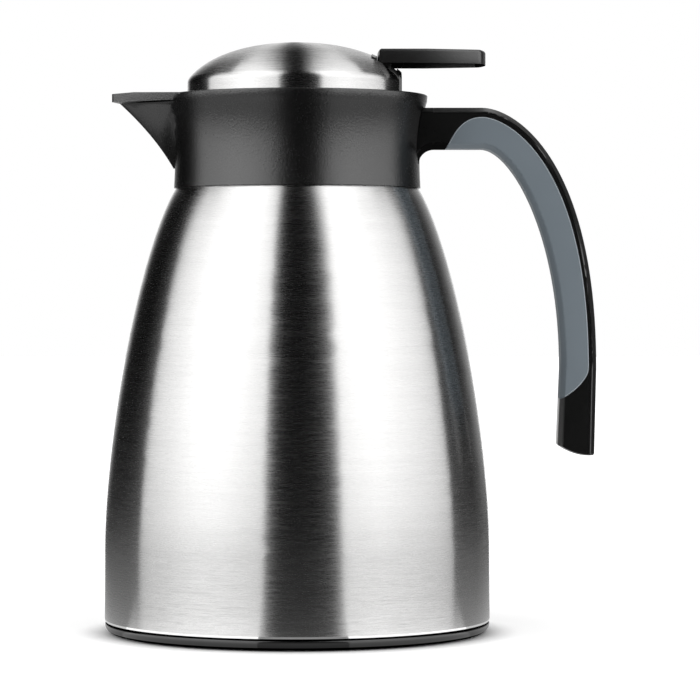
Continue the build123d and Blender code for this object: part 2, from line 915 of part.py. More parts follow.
def make_port(angle):
    """One pouring port, as the wedge that it takes out of the tube's wall."""
    reach = 2 * stopper_radius
    half = radians(port_angle / 2)
    side = reach * tan(half)
    corners = [(0, 0, port_sill), (reach, -side, port_sill), (reach, side, port_sill), (0, 0, port_sill)]
    wedge = extrude(Face(Wire([Line(a, b) for a, b in zip(corners, corners[1:])])), port_height, dir=(0, 0, 1))
    bore_radius = stopper_bore - boss_radius / 2
    return Rot(0, 0, angle) * (wedge - disc(bore_radius, port_sill, port_sill + port_height))


def make_stopper_bottom():
    """The stopper's bottom, with the raised lip that the valve closes on."""
    low = stopper_bottom_height - stopper_cap_thickness
    spigot_outer = stopper_bore - bore_clearance
    spigot_inner = spigot_outer - stopper_cap_thickness
    bottom = disc(stopper_radius, low, stopper_bottom_height)
    bottom += tube(spigot_outer, spigot_inner, stopper_bottom_height, stopper_bottom_height + stopper_cap_spigot)
    bottom += disc(valve_hole_radius + valve_lip_width, stopper_bottom_height, valve_lip_top)
    return bottom - disc(valve_hole_radius, low, valve_lip_top)


def make_stopper_seal():
    """The soft ring that seals the stopper in the neck."""
    low, high = seal_groove_levels()
    outer = stopper_radius + seal_proud
    bevel = seal_section / 3
    return turned(
        (stopper_radius, low),
        (outer - bevel, low),
        (outer, low + bevel),
        (outer, high - bevel),
        (outer - bevel, high),
        (stopper_radius, high),
    )


def make_lid_gasket():
    """The flat ring between the lid's deck and the collar's seat."""
    inner = chamber_radius + lid_gasket_play
    outer = lid_recess_radius - lid_gasket_play
    return tube(outer, inner, lid_gasket_bottom, lid_gasket_top)


def screw_from_above(x, y, seat, head_radius, head_height, shank_radius, bite):
    """An upright screw whose head lies on the seat and whose shank goes down."""
    recess = disc(head_radius / 2, seat + head_height / 2, seat + head_height, x, y)
    return disc(head_radius, seat, seat + head_height, x, y) + disc(shank_radius, seat - bite, seat, x, y) - recess


def make_deck_screws():
    """The screws that hold the stopper's tube under the deck."""
    bite = deck_plate + deck_screw_bite - deck_gap
    screws = [
        screw_from_above(
            x, y, deck_top, deck_screw_head_radius, deck_screw_head_height, deck_screw_radius, bite
        )
        for x, y in deck_screw_places()
    ]
    return Compound(screws)


def make_housing_screws():
    """The screws from under the deck into the cheeks of the lever's housing."""
    screws = []
    for x, y in housing_screw_places():
        head = disc(housing_screw_head_radius, deck_bottom - housing_screw_head_height, deck_bottom, x, y)
        tip = deck_rim_top + housing_screw_bite
        screws.append(head + disc(housing_screw_radius, deck_bottom, tip, x, y))
    return Compound(screws)


def make_lever_housing():
    """The black lining of the dome's slot: cheeks, floor, back wall and front lip."""
    cavity_half = slot_half_width - housing_cheek
    lip_back = slot_front + housing_lip_depth
    lip_bottom = housing_back_top + housing_lip_height
    body = block(slot_front, housing_back, slot_half_width, housing_bottom, dome_top)
    upright = [
        edge
        for edge in body.edges().filter_by(Axis.Z)
        if edge.center().X > (slot_front + housing_back) / 2
    ]
    body = fillet(upright, housing_corner_round)
    body &= dome_solid(-housing_proud)
    body -= block(lip_back, housing_back, slot_half_width, lever_bottom - lever_gap, dome_top)
    body -= block(pin_x, housing_back, slot_half_width, housing_back_top, dome_top)
    body -= block(
        slot_front, housing_back - housing_back_wall, cavity_half, housing_bottom + housing_floor, lip_bottom
    )
    body -= block(lip_back, housing_back - housing_back_wall, cavity_half, lip_bottom, dome_top)
    body -= cross_rod(pin_radius, slot_half_width - pin_end_inset, pin_x, pin_height)
    for x, y in housing_screw_places():
        body -= disc(housing_screw_radius, housing_bottom, deck_rim_top + housing_screw_bite, x, y)
    return body


def make_lever_pin():
    """The steel pin across the housing's cheeks."""
    return cross_rod(pin_radius, slot_half_width - pin_end_inset, pin_x, pin_height)


def lever_plan(inset):
    """The thumb paddle's outline seen from above, moved inwards."""
    front = lever_front + inset
    back = lever_front + lever_length - lever_end_bulge - inset
    wide = lever_half_width - inset
    narrow = lever_end_half_width - inset
    corners = [
        (front, -wide, lever_bottom),
        (lever_taper_start, -wide, lever_bottom),
        (back, -narrow, lever_bottom),
        (back, narrow, lever_bottom),
        (lever_taper_start, wide, lever_bottom),
        (front, wide, lever_bottom),
    ]
    a, b, c, d, e, f = corners
    edges = [
        Line(a, b),
        Line(b, c),
        SagittaArc(c, d, -lever_end_bulge),
        Line(d, e),
        Line(e, f),
        SagittaArc(f, a, -lever_front_bulge),
    ]
    return Face(Wire(edges))


def make_lever():
    """The thumb lever: paddle, root, pin boss and the fork that lifts the valve stem."""
    top = lever_bottom + lever_thickness
    half_gap = stem_radius + stem_clearance + fork_slot_play
    prong_outer = half_gap + fork_prong_width
    root_half = slot_half_width - housing_cheek - lever_root_gap
    root_back = pin_x + lever_root_thickness - lever_boss_radius / 2
    root_front = lever_front
    prong_bottom = fork_top - fork_prong_height
    paddle = extrude(lever_plan(0), lever_thickness, dir=(0, 0, 1))
    corners = [
        edge
        for edge in paddle.edges().filter_by(Axis.Z)
        if edge.center().X > lever_taper_start + lever_corner_round
    ]
    paddle = fillet(corners, lever_corner_round)
    paddle = fillet(paddle.faces().sort_by(Axis.Z)[-1].edges(), lever_edge_round)
    pocket = extrude(lever_plan(lever_shell), lever_thickness - lever_shell, dir=(0, 0, 1))
    paddle -= pocket & block(lever_pocket_start, lever_front + lever_length, lever_half_width, lever_bottom, top)
    lever = paddle + block(root_front, root_back, root_half, pin_height, lever_bottom + lever_shell)
    lever += cross_rod(lever_boss_radius, root_half, pin_x, pin_height)
    lever += block(-fork_tip_overrun, pin_x, prong_outer, prong_bottom, fork_top)
    fork_slot_end = stem_radius + stem_cap_radius
    lever -= block(-fork_tip_overrun, fork_slot_end, half_gap, prong_bottom, fork_top)
    return lever - cross_rod(pin_radius + pin_clearance, root_half, pin_x, pin_height)


def make_valve_stem():
    """The valve's steel stem."""
    return disc(stem_radius, valve_disc_bottom, stem_cap_bottom + stem_cap_socket / 2)


def make_stem_cap():
    """The cap on the stem, which the fork lifts."""
    top = stem_cap_bottom + stem_cap_thickness
    cap = disc(stem_cap_radius, stem_cap_bottom, top)
    cap += disc(stem_cap_radius / 2, top, top + stem_cap_socket / 2)
    return cap - disc(stem_radius, stem_cap_bottom, stem_cap_bottom + stem_cap_socket / 2)


def make_valve_disc():
    """The stiff disc above the valve's seal."""
    return tube(valve_disc_radius, stem_radius, valve_disc_bottom, valve_disc_top)


def make_valve_seal():
    """The soft disc that closes on the stopper's lip."""
    return disc(valve_disc_radius, valve_seal_bottom, valve_disc_bottom)


def make_valve_spring():
    """The coil that presses the valve down."""
    low = valve_disc_top + spring_seat_gap + spring_wire_radius
    high = spigot_bottom - spring_seat_gap - spring_wire_radius
    height = high - low
    coil = Pos(0, 0, low) * Helix(height / spring_turns, height, spring_radius)
    wire = Plane(origin=coil @ 0, z_dir=coil % 0) * Circle(spring_wire_radius)
    return sweep(wire, path=coil, is_frenet=True)


def build():
    """Make and write every sub-part."""
    os.makedirs("parts", exist_ok=True)
    write(make_outer_shell(), "outer_shell")
    write(make_inner_flask(), "inner_flask")
    write(make_shell_bottom(), "shell_bottom")
    write(make_getter(), "getter")
    write(make_seal_bead(), "vacuum_seal_bead")
    write(make_base_cup(), "base_cup")
    write(make_base_pad(), "base_pad")
    write(make_collar(), "collar")
    write(make_neck_gasket(), "neck_gasket")
    form = make_handle_form()
    write(make_handle_frame(form), "handle_frame")
    write(make_back_cover(form), "handle_back_cover")
    write(make_grip(form), "grip_insert")
    write(make_handle_screws(), "handle_screws")
    write(make_dome(), "lid_dome")
    write(make_deck(), "lid_deck")
    write(make_stopper_tube(), "stopper_tube")
    write(make_stopper_bottom(), "stopper_bottom")
    write(make_stopper_seal(), "stopper_seal")
    write(make_stem_seal(), "stem_seal")
    write(make_deck_screws(), "deck_screws")
    write(make_housing_screws(), "housing_screws")
    write(make_lever_housing(), "lever_housing")
    write(make_lever_pin(), "lever_pin")
    write(make_lid_gasket(), "lid_gasket")
    write(make_lever(), "thumb_lever")
    write(make_valve_stem(), "valve_stem")
    write(make_stem_cap(), "stem_cap")
    write(make_valve_disc(), "valve_disc")
    write(make_valve_seal(), "valve_seal")
    write(make_valve_spring(), "valve_spring")


build()
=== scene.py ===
"""Looks of the vacuum carafe: finishes, rounded shells, studio and camera. Metres, +Z up."""
import json
from math import cos, pi, radians, sin, sqrt

import bpy
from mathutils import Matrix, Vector


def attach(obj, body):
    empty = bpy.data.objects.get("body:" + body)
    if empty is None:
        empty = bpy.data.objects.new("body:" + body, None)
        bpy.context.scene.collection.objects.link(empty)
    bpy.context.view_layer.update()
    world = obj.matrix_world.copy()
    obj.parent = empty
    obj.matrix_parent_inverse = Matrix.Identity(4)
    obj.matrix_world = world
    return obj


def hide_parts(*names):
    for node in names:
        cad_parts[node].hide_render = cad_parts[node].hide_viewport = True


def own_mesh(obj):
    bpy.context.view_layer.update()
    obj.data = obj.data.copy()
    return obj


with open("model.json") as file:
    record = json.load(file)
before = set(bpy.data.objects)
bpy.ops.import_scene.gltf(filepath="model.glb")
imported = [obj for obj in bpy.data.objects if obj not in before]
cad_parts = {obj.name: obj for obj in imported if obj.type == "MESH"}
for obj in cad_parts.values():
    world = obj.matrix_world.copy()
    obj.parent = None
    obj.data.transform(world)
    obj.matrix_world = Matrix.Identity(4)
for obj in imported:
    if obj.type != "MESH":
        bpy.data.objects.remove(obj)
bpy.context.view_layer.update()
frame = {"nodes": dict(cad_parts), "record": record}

MM = 0.001

# Camera: where it stands, where it looks and its lens
CAMERA_PLACE = (20.53 * MM, -1244 * MM, 129.4 * MM)
CAMERA_AIM = (20.53 * MM, 0, 109.9 * MM)
CAMERA_LENS = 164.0
SENSOR_WIDTH = 36.0

# Studio: azimuths in degrees round the object, 0 towards the camera and positive to its right.
# Stops and fades are (place, level) pairs across a card or lamp, or outwards along a floor card.
PANEL_DISTANCE = 1.7
PANEL_LEFT = (-103.0, -18.0)
PANEL_RIGHT = (22.0, 101.5)
PANEL_RIGHT_TILT = 5.0
PANEL_FOOT = -1.2
PANEL_TOP = 5.0
PANEL_RADIANCE = 1.4
PANEL_LEFT_STOPS = [
    (0.0, 0.34), (0.16, 0.48), (0.28, 0.62), (0.4, 0.85),
    (0.53, 1.05), (0.63, 0.98), (0.86, 0.64), (1.0, 0.5),
]
PANEL_RIGHT_STOPS = [
    (0.0, 0.58), (0.12, 0.72), (0.34, 0.94), (0.6, 0.66), (0.84, 0.42), (1.0, 0.26),
]
PANEL_RISE = [(0.0, 0.8), (0.25, 1.0), (0.55, 0.95), (0.8, 0.85), (1.0, 0.4)]
FLAG_DISTANCE = 2.2
FLAG_FOOT = -1.0
FLAG_TOP = 9.0
CENTRE_FLAG = (-18.0, 27.0)
SIDE_FLAG_LEFT = (-166.0, -105.0)
SIDE_FLAG_RIGHT = (105.0, 166.0)
SIDE_FLAG_TOP = 3.2
CENTRE_FLAG_FADE = [
    (0.0, 0.24), (0.07, 0.2), (0.1, 0.02), (0.16, 0.001), (0.9, 0.001), (1.0, 0.02),
]
LEFT_FLAG_FADE = [
    (0.0, 0.12), (0.1, 0.08), (0.2, 0.02), (0.35, 0.0),
    (0.7, 0.01), (0.78, 0.1), (0.86, 0.35), (1.0, 0.6),
]
RIGHT_FLAG_FADE = [
    (0.0, 0.1), (0.1, 0.08), (0.2, 0.04), (0.45, 0.01),
    (0.62, 0.12), (0.72, 0.26), (0.85, 0.38), (1.0, 0.6),
]
CEILING_HEIGHT = 5.2
CEILING_SIZE = (12.0, 12.0)
CEILING_PLACE = (0.0, 3.0)
CEILING_GLOW = 1.4
CEILING_STOPS = [
    (0.0, 0.05), (0.06, 0.06), (0.1, 0.5), (0.15, 0.85), (0.25, 1.0), (0.375, 0.8),
    (0.417, 0.38), (0.458, 0.03), (0.5, 0.0), (0.527, 0.03), (0.56, 0.45), (0.6, 0.8),
    (0.7, 1.0), (0.82, 1.0), (0.9, 0.6), (0.94, 0.08), (1.0, 0.05),
]
WEDGE_LENGTH = 2.5
BODY_RADIUS = 75 * MM
FLOOR_CARD_HEIGHT = 0.0002
WEDGE_START = 60 * MM
# The floor-card fades paint the floor as reflections see it: black next to the body, a painted
# contact shadow, and the centre one dimmer in front
CENTRE_WEDGE_FADE = [
    (0.0, 0.0), (0.0299, 0.0), (0.0303, 0.26), (0.032, 0.22), (0.034, 0.1),
    (0.04, 0.08), (0.06, 0.04), (0.2, 0.003), (1.0, 0.0),
]
SIDE_WEDGE_FADE = [
    (0.0, 0.0), (0.0299, 0.0), (0.0303, 0.3), (0.032, 0.3), (0.034, 0.5),
    (0.04, 0.3), (0.06, 0.25), (0.2, 0.02), (1.0, 0.0),
]
LIT_WEDGE_FADE = [
    (0.0, 0.0), (0.0299, 0.0), (0.0303, 0.42), (0.0318, 0.5), (0.033, 1.0),
    (0.038, 1.0), (0.044, 0.5), (0.05, 0.25), (0.075, 0.25), (0.1, 0.42),
    (0.13, 0.55), (0.2, 0.45), (0.3, 0.3), (1.0, 0.2),
]
WEDGE_GLOW = 1.6
FLOOR_SIZE = 12.0
FLOOR_FADE = 1.0
FLOOR_GREY = 0.8
FLOOR_GLOW = [(0.0, 0.0), (0.072, 0.0), (0.085, 0.55), (0.14, 0.72), (0.3, 0.95), (1.0, 1.0)]
WORLD_FILL = 0.25

# Grain of the finishes, in waves per metre: round and across the brushing, then all round
FINE_BRUSH = (190, 4200)
STREAK_BRUSH = (70, 2300)
BROAD_BRUSH = (10, 300)
MOULD_GRAIN = 1500
MOULD_CLOUD = 60
METAL_CLOUD = 400
RUBBER_GRAIN = 1800
RUBBER_CLOUD = 45

# Modelling: sizes in metres, angles in degrees
SEED_SIZE = 0.01
WELD = 1e-6
CRISP_ANGLE = 32.0
QUAD_ANGLE = 4.0
SPIN_STEPS = 256

# How near a corner lies to the place it is sought at, in mm
HAIR = 0.01
NEAR = 0.1
LEVEL_STEP = 0.002
RADIUS_STEP = 0.2

# Outer shell, base and their shadow gap, in mm
SHELL_FOOT = 4.8
EDGE_RISE = 0.8
EDGE_LEAN = 0.17
CUP_RADIUS = 74.9
CUP_FOOT = 0.4
CUP_ROUND = 3.4
CUP_ROUND_STEPS = 12
CUP_LIP_ROUND = 0.25
CUP_LIP_STEPS = 4
CUP_RECESS_TOP = 1.8
CUP_FLOOR = 3.8
# Below this height the cup's foot is painted shade, a matt black without reflections
CUP_PAINTED_SHADE_TOP = 1.5
CUP_INNER = 71.5
CUP_TOP = 9.0
PAD_ROOM = 62.1
GAP_FLOOR = 4.05
GAP_RADIUS = 73.5

# Collar: brim and beak, in mm
BRIM_RADIUS = 50.7
BRIM_TOP = 208.9
BRIM_ROUND = 1.9
BRIM_TIGHT = 0.5
LIP_FOOT = 206.4
LIP_MARGIN = 0.05
BEAK_START = -44.0
BEAK_PINCH = 0.9

# Handle: sides, root and grip edge, in mm, with angles in degrees
HANDLE_SIDE = 11.0
ON_SIDE = 0.001
SIDE_ROUND = 2.4
SIDE_SHOULDER = 1.7
SIDE_STEEP = 2.35
# Faces under the root that face downwards get painted shade
ROOT_END = 95.0
ROOT_FOOT = 175.0
ROOT_FACING = -0.15
FLAT_FACING = 0.95
GRIP_EDGE = 0.4
GRIP_CRISP = 75.0
SHARP_ANGLE = 88.0

# Thumb lever, in mm
LEVER_FLOOR = 220.7
LEVER_HALF = 15.8
LEVER_TAPER_START = 50.0
LEVER_TAPER = 0.26
LEVER_END = 72.4
LEVER_RIM = 0.6
LEVER_EDGE = 0.4
LEVER_EDGE_STEPS = 3
# Faces under the lever that face this steeply downwards get painted shade
UNDERSIDE_FACING = -0.98


class Value:
    """A number that varies over a surface; Python's operators add Math nodes."""

    def __init__(self, shading, socket):
        self.shading = shading
        self.socket = socket

    def _with(self, operation, *others):
        made = self.shading.node("Math", {"operation": operation}, dict(enumerate(others)))
        return Value(self.shading, made.outputs[0])

    def __add__(self, other):
        return self._with("ADD", self, other)

    def __sub__(self, other):
        return self._with("SUBTRACT", self, other)

    def __rsub__(self, other):
        return self._with("SUBTRACT", other, self)

    def __mul__(self, other):
        return self._with("MULTIPLY", self, other)

    def __truediv__(self, other):
        return self._with("DIVIDE", self, other)

    def root(self):
        return self._with("SQRT", self)

    def or_more(self, other):
        return self._with("MAXIMUM", self, other)

    __radd__ = __add__
    __rmul__ = __mul__


class Shading:
    """A node tree of a finish, a lamp or the world, built node by node."""

    def __init__(self, owner):
        owner.use_nodes = True
        self.owner = owner
        self.tree = owner.node_tree
        self.tree.nodes.clear()

    def node(self, kind, settings, inputs):
        """A node of a kind, with its settings made first and then its sockets fed."""
        made = self.tree.nodes.new("ShaderNode" + kind)
        for key, setting in settings.items():
            if key == "stops":
                self.set_stops(made.color_ramp, setting)
            else:
                setattr(made, key, setting)
        for key, given in inputs.items():
            self.feed(made.inputs[key], given)
        return made

    def set_stops(self, ramp, stops):
        """Greys of a ramp, as (place, level) pairs."""
        while len(ramp.elements) < len(stops):
            ramp.elements.new(1.0)
        for element, (spot, level) in zip(ramp.elements, stops):
            element.position = spot
            element.color = grey(level)

    def feed(self, socket, given):
        """Links or sets one socket."""
        if isinstance(given, Value):
            given = given.socket
        if isinstance(given, bpy.types.NodeSocket):
            self.tree.links.new(given, socket)
        else:
            socket.default_value = given

    def split(self, vector):
        """The three parts of a vector socket."""
        parts = self.node("SeparateXYZ", {}, {"Vector": vector})
        return [Value(self, out) for out in parts.outputs]

    def place(self):
        """The surface point's object coordinates, as three values."""
        return self.split(self.node("TexCoord", {}, {}).outputs["Object"])

    def noise(self, x, y, z, detail=2.0, roughness=0.5):
        """Noise from 0 to 1 at a point that is already scaled."""
        point = self.node("CombineXYZ", {}, {"X": x, "Y": y, "Z": z}).outputs["Vector"]
        inputs = {"Vector": point, "Scale": 1.0, "Detail": detail, "Roughness": roughness}
        return Value(self, self.node("TexNoise", {}, inputs).outputs["Fac"])

    def even_noise(self, scale, detail=2.0, roughness=0.5):
        """Noise of the surface point's object coordinates, the same in every direction."""
        x, y, z = self.place()
        return self.noise(x * scale, y * scale, z * scale, detail, roughness)

    def ramp(self, factor, stops):
        """A grey that follows a factor through (place, level) stops."""
        return self.node("ValToRGB", {"stops": stops}, {"Fac": factor}).outputs["Color"]

    def mix(self, factor, first, second):
        """A colour between two colours."""
        inputs = {0: factor, 6: first, 7: second}
        return self.node("Mix", {"data_type": "RGBA"}, inputs).outputs[2]

    def relief(self, height, distance):
        """A bumped normal."""
        inputs = {"Height": height, "Distance": distance, "Strength": 1.0}
        return self.node("Bump", {}, inputs).outputs["Normal"]

    def surface(self, inputs):
        """The Principled surface and the finish's output."""
        shader = self.node("BsdfPrincipled", {}, inputs)
        self.node("OutputMaterial", {}, {"Surface": shader.outputs["BSDF"]})
        return self.owner


def finish_of(name):
    """An empty finish with a name."""
    return Shading(bpy.data.materials.new(name))


def brushed_steel(name, dark, light, roughness, streak_height):
    """Stainless steel brushed round the jug's axis: long level streaks, fine across."""
    finish = finish_of(name)
    x, y, z = finish.place()
    across = z - (x * x + y * y).root()

    def brushing(scales, roughness):
        round_it, across_it = scales
        place = (x * round_it, y * round_it, across * across_it)
        return finish.noise(*place, detail=2.0, roughness=roughness)

    fine = brushing(FINE_BRUSH, 0.6)
    streak = brushing(STREAK_BRUSH, 0.55)
    broad = brushing(BROAD_BRUSH, 0.5)
    grain = fine * 0.55 + streak * 0.45 + broad * 0.3 - 0.15
    return finish.surface({
        "Base Color": finish.mix(grain, dark, light),
        "Metallic": 1.0,
        "Roughness": (fine + streak) * 0.16 + (roughness - 0.16),
        "Anisotropic": 0.98,
        "Anisotropic Rotation": 0.25,
        "Normal": finish.relief(fine, streak_height),
    })


def moulded_plastic(name, dark, light, roughness, grain_height, gloss=1.0):
    """Plastic from a spark-eroded mould: an even fine grain."""
    finish = finish_of(name)
    grain = finish.even_noise(MOULD_GRAIN, detail=2.0, roughness=0.6)
    cloud = finish.even_noise(MOULD_CLOUD)
    return finish.surface({
        "Base Color": finish.mix(cloud, dark, light),
        "Roughness": grain * 0.1 + cloud * 0.05 + (roughness - 0.07),
        "Specular IOR Level": gloss,
        "Normal": finish.relief(grain, grain_height),
    })


def plain_metal(name, dark, light, roughness):
    """Turned or drawn steel with a faint cloudiness."""
    finish = finish_of(name)
    cloud = finish.even_noise(METAL_CLOUD, detail=3.0)
    return finish.surface({
        "Base Color": finish.mix(cloud, dark, light),
        "Metallic": 1.0,
        "Roughness": cloud * 0.12 + roughness,
    })


def soft_rubber(name, dark, light, roughness, grain_height):
    """Elastomer with a velvety fine grain."""
    finish = finish_of(name)
    grain = finish.even_noise(RUBBER_GRAIN, detail=3.0, roughness=0.6)
    cloud = finish.even_noise(RUBBER_CLOUD)
    return finish.surface({
        "Base Color": finish.mix(cloud, dark, light),
        "Roughness": grain * 0.12 + (roughness - 0.06),
        "Specular IOR Level": 0.25,
        "Normal": finish.relief(grain, grain_height),
    })


def grey(level, warm=0.0):
    """An RGBA grey, a little warmer or cooler."""
    return (level * (1 + warm), level, level * (1 - warm), 1.0)


def dress(finishes):
    """Gives every CAD node the finish of its record slot."""
    slots = {entry["node"]: entry["material_slot"] for entry in frame["record"]["subparts"]}
    for node, piece in frame["nodes"].items():
        finish = finishes[slots[node]]
        if not piece.material_slots:
            piece.data.materials.append(finish)
        for number in range(len(piece.material_slots)):
            piece.material_slots[number].material = finish


def arc(centre_r, centre_z, radius, start, end, steps):
    """Points of a circular arc of an outline, angles in degrees from level outwards."""
    angles = [radians(start + (end - start) * step / steps) for step in range(steps + 1)]
    return [(centre_r + radius * cos(angle), centre_z + radius * sin(angle)) for angle in angles]


def edit(piece):
    """Opens one piece for edit-mode work."""
    bpy.ops.object.select_all(action="DESELECT")
    piece.select_set(True)
    bpy.context.view_layer.objects.active = piece
    bpy.ops.object.mode_set(mode="EDIT")
    bpy.ops.mesh.select_mode(type="VERT")


def drawn_outline(name, points):
    """A line of edges in the XZ plane, extruded point by point from one corner, in edit mode."""
    bpy.ops.object.select_all(action="DESELECT")
    bpy.ops.mesh.primitive_plane_add(size=SEED_SIZE, location=(0, 0, 0))
    piece = bpy.context.object
    piece.name = name
    edit(piece)
    bpy.ops.mesh.select_all(action="SELECT")
    bpy.ops.mesh.merge(type="CENTER")
    before = (0, 0)
    for number, (r, z) in enumerate(points):
        step = {"value": ((r - before[0]) * MM, 0, (z - before[1]) * MM)}
        if number:
            bpy.ops.mesh.extrude_region_move(TRANSFORM_OT_translate=step)
        else:
            bpy.ops.transform.translate(**step)
        before = (r, z)
    return piece


def close_up(crisp=CRISP_ANGLE):
    """Merges what meets, turns the faces outwards and leaves edit mode, smooth with crisp edges."""
    bpy.ops.mesh.select_all(action="SELECT")
    bpy.ops.mesh.remove_doubles(threshold=WELD)
    bpy.ops.mesh.normals_make_consistent(inside=False)
    bpy.ops.object.mode_set(mode="OBJECT")
    bpy.ops.mesh.customdata_custom_splitnormals_clear()
    bpy.ops.object.shade_smooth_by_angle(angle=radians(crisp))


def spun(name, points):
    """A turned piece: an outline from (radius, height) points spun round the jug's axis."""
    piece = drawn_outline(name, points)
    bpy.ops.mesh.select_all(action="SELECT")
    bpy.ops.mesh.spin(steps=SPIN_STEPS, angle=2 * pi, center=(0, 0, 0), axis=(0, 0, 1))
    close_up()
    return piece


def copy_of(node, name):
    """A copy of a CAD node with its loose triangles joined into larger faces, in edit mode."""
    bpy.ops.object.select_all(action="DESELECT")
    source = frame["nodes"][node]
    source.select_set(True)
    bpy.context.view_layer.objects.active = source
    bpy.ops.object.duplicate()
    piece = bpy.context.object
    piece.name = name
    edit(piece)
    bpy.ops.mesh.select_all(action="SELECT")
    bpy.ops.mesh.remove_doubles(threshold=WELD)
    bpy.ops.mesh.tris_convert_to_quads(face_threshold=radians(QUAD_ANGLE), shape_threshold=pi)
    return piece


def pick_edges(piece, wanted):
    """Selects the edges whose both ends pass a test on (radius, x, y, z), in mm."""
    bpy.ops.mesh.select_mode(type="EDGE")
    bpy.ops.mesh.select_all(action="DESELECT")
    bpy.ops.object.mode_set(mode="OBJECT")
    marks = []
    for corner in piece.data.vertices:
        x, y, z = corner.co / MM
        marks.append(wanted(sqrt(x * x + y * y), x, y, z))
    for line in piece.data.edges:
        line.select = marks[line.vertices[0]] and marks[line.vertices[1]]
    bpy.ops.object.mode_set(mode="EDIT")


def pick_corners(piece, wanted):
    """Selects the corners that pass a test on (radius, x, y, z), in mm; true if there are any."""
    bpy.ops.mesh.select_mode(type="VERT")
    bpy.ops.mesh.select_all(action="DESELECT")
    bpy.ops.object.mode_set(mode="OBJECT")
    found = False
    for corner in piece.data.vertices:
        x, y, z = corner.co / MM
        corner.select = wanted(sqrt(x * x + y * y), x, y, z)
        found = found or corner.select
    bpy.ops.object.mode_set(mode="EDIT")
    return found


def levels_of(piece, wanted):
    """The different heights of the corners that pass a test, in mm."""
    bpy.ops.object.mode_set(mode="OBJECT")
    levels = set()
    for corner in piece.data.vertices:
        place = corner.co / MM
        if wanted(sqrt(place.x ** 2 + place.y ** 2), *place):
            levels.add(round(place.z, 3))
    bpy.ops.object.mode_set(mode="EDIT")
    return sorted(levels)


def install(piece, body, slot, coats, *nodes):
    """Gives a piece its finishes by name and its body, and hides the CAD nodes it stands for."""
    slots = piece.data.materials
    for number, coat in enumerate(coats):
        if number < len(slots):
            slots[number] = finishes[coat]
        else:
            slots.append(finishes[coat])
    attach(piece, body)
    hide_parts(*nodes)


def add_steel_body():
    """The outer shell with a bright edge turned in along its foot; the edge's metal is a polished
    trim brightened beyond steel as a painted highlight.
    """
    piece = copy_of("outer_shell", "steel_body")
    edge_top = SHELL_FOOT + EDGE_RISE
    outside = BODY_RADIUS / MM - NEAR
    bpy.ops.mesh.select_all(action="SELECT")
    bpy.ops.mesh.bisect(plane_co=(0, 0, edge_top * MM), plane_no=(0, 0, 1))
    pick_edges(piece, lambda r, x, y, z: r > outside and abs(z - edge_top) < NEAR)
    bpy.ops.mesh.mark_sharp()
    pick_edges(piece, lambda r, x, y, z: r > outside and z < SHELL_FOOT + NEAR)
    shrink = 1 - EDGE_LEAN * MM / BODY_RADIUS
    bpy.ops.transform.resize(value=(shrink, shrink, 1), center_override=(0, 0, 0))
    close_up()
    # Faces of the foot's edge get the bright metal, partly a polished trim and partly a painted
    # highlight
    for face in piece.data.polygons:
        x, y, z = face.center / MM
        if z < edge_top and x * x + y * y > (outside - 2 * NEAR) ** 2:
            face.material_index = 1
    install(piece, "jug", "brushed_shell", ["brushed_shell", "polished_edge_and_highlight"], "outer_shell")


def add_base_cup():
    """The black base cup with a shadow gap under the steel's edge and a rounded foot; the gap's
    faces and the foot's lowest band are painted shade, a matt black without reflections.
    """
    outline = [(0, CUP_RECESS_TOP), (PAD_ROOM, CUP_RECESS_TOP), (PAD_ROOM, CUP_FOOT)]
    outline += arc(CUP_RADIUS - CUP_ROUND, CUP_FOOT + CUP_ROUND, CUP_ROUND, -90, 0, CUP_ROUND_STEPS)
    lip = (CUP_RADIUS - CUP_LIP_ROUND, GAP_FLOOR - CUP_LIP_ROUND)
    outline += arc(*lip, CUP_LIP_ROUND, 0, 90, CUP_LIP_STEPS)
    outline += [(GAP_RADIUS, GAP_FLOOR), (GAP_RADIUS, CUP_TOP), (CUP_INNER, CUP_TOP)]
    outline += [(CUP_INNER, CUP_FLOOR), (0, CUP_FLOOR)]
    piece = spun("base_ring", outline)
    lip_height = GAP_FLOOR - CUP_LIP_ROUND / 2
    lip_radius = CUP_RADIUS - CUP_LIP_ROUND / 2
    # The gap's faces and the foot's lowest band get painted shade, a matt black without reflections
    for face in piece.data.polygons:
        x, y, z = face.center / MM
        in_gap = z > lip_height and x * x + y * y < lip_radius ** 2
        if in_gap or z < CUP_PAINTED_SHADE_TOP:
            face.material_index = 1
    install(piece, "jug", "black_plastic", ["base_plastic", "painted_shade_black"], "base_cup")


def add_collar():
    """The collar with a tight brim edge and a beak that draws in below its rim."""
    piece = copy_of("collar", "pouring_collar")
    inside = BRIM_RADIUS - BRIM_ROUND - HAIR
    foot = BRIM_TOP - BRIM_ROUND - HAIR
    shrink = BRIM_TIGHT / BRIM_ROUND

    def on_brim(r, x, y, z):
        return inside < r < BRIM_RADIUS + 2 * HAIR and z > foot and x > BEAK_START

    for level in reversed(levels_of(piece, on_brim)):
        rise = level - (BRIM_TOP - BRIM_ROUND)
        radius = BRIM_RADIUS - BRIM_ROUND + sqrt(max(0.0, BRIM_ROUND ** 2 - rise ** 2))
        wider = (BRIM_RADIUS - (BRIM_RADIUS - radius) * shrink) / radius

        def on_row(r, x, y, z):
            at_row = abs(z - level) < LEVEL_STEP and abs(r - radius) < RADIUS_STEP
            return at_row and on_brim(r, x, y, z)

        if pick_corners(piece, on_row):
            bpy.ops.transform.resize(value=(wider, wider, 1), center_override=(0, 0, 0))
            bpy.ops.transform.translate(value=(0, 0, (BRIM_TOP - level) * (1 - shrink) * MM))

    def on_flank(r, x, y, z):
        return x < BEAK_START and r > BRIM_RADIUS + LIP_MARGIN and z < LIP_FOOT + LIP_MARGIN

    pick_corners(piece, on_flank)
    bpy.ops.transform.resize(value=(1, BEAK_PINCH, 1), center_override=(0, 0, 0))
    close_up()
    install(piece, "jug", "black_plastic", ["collar_plastic"], "collar")


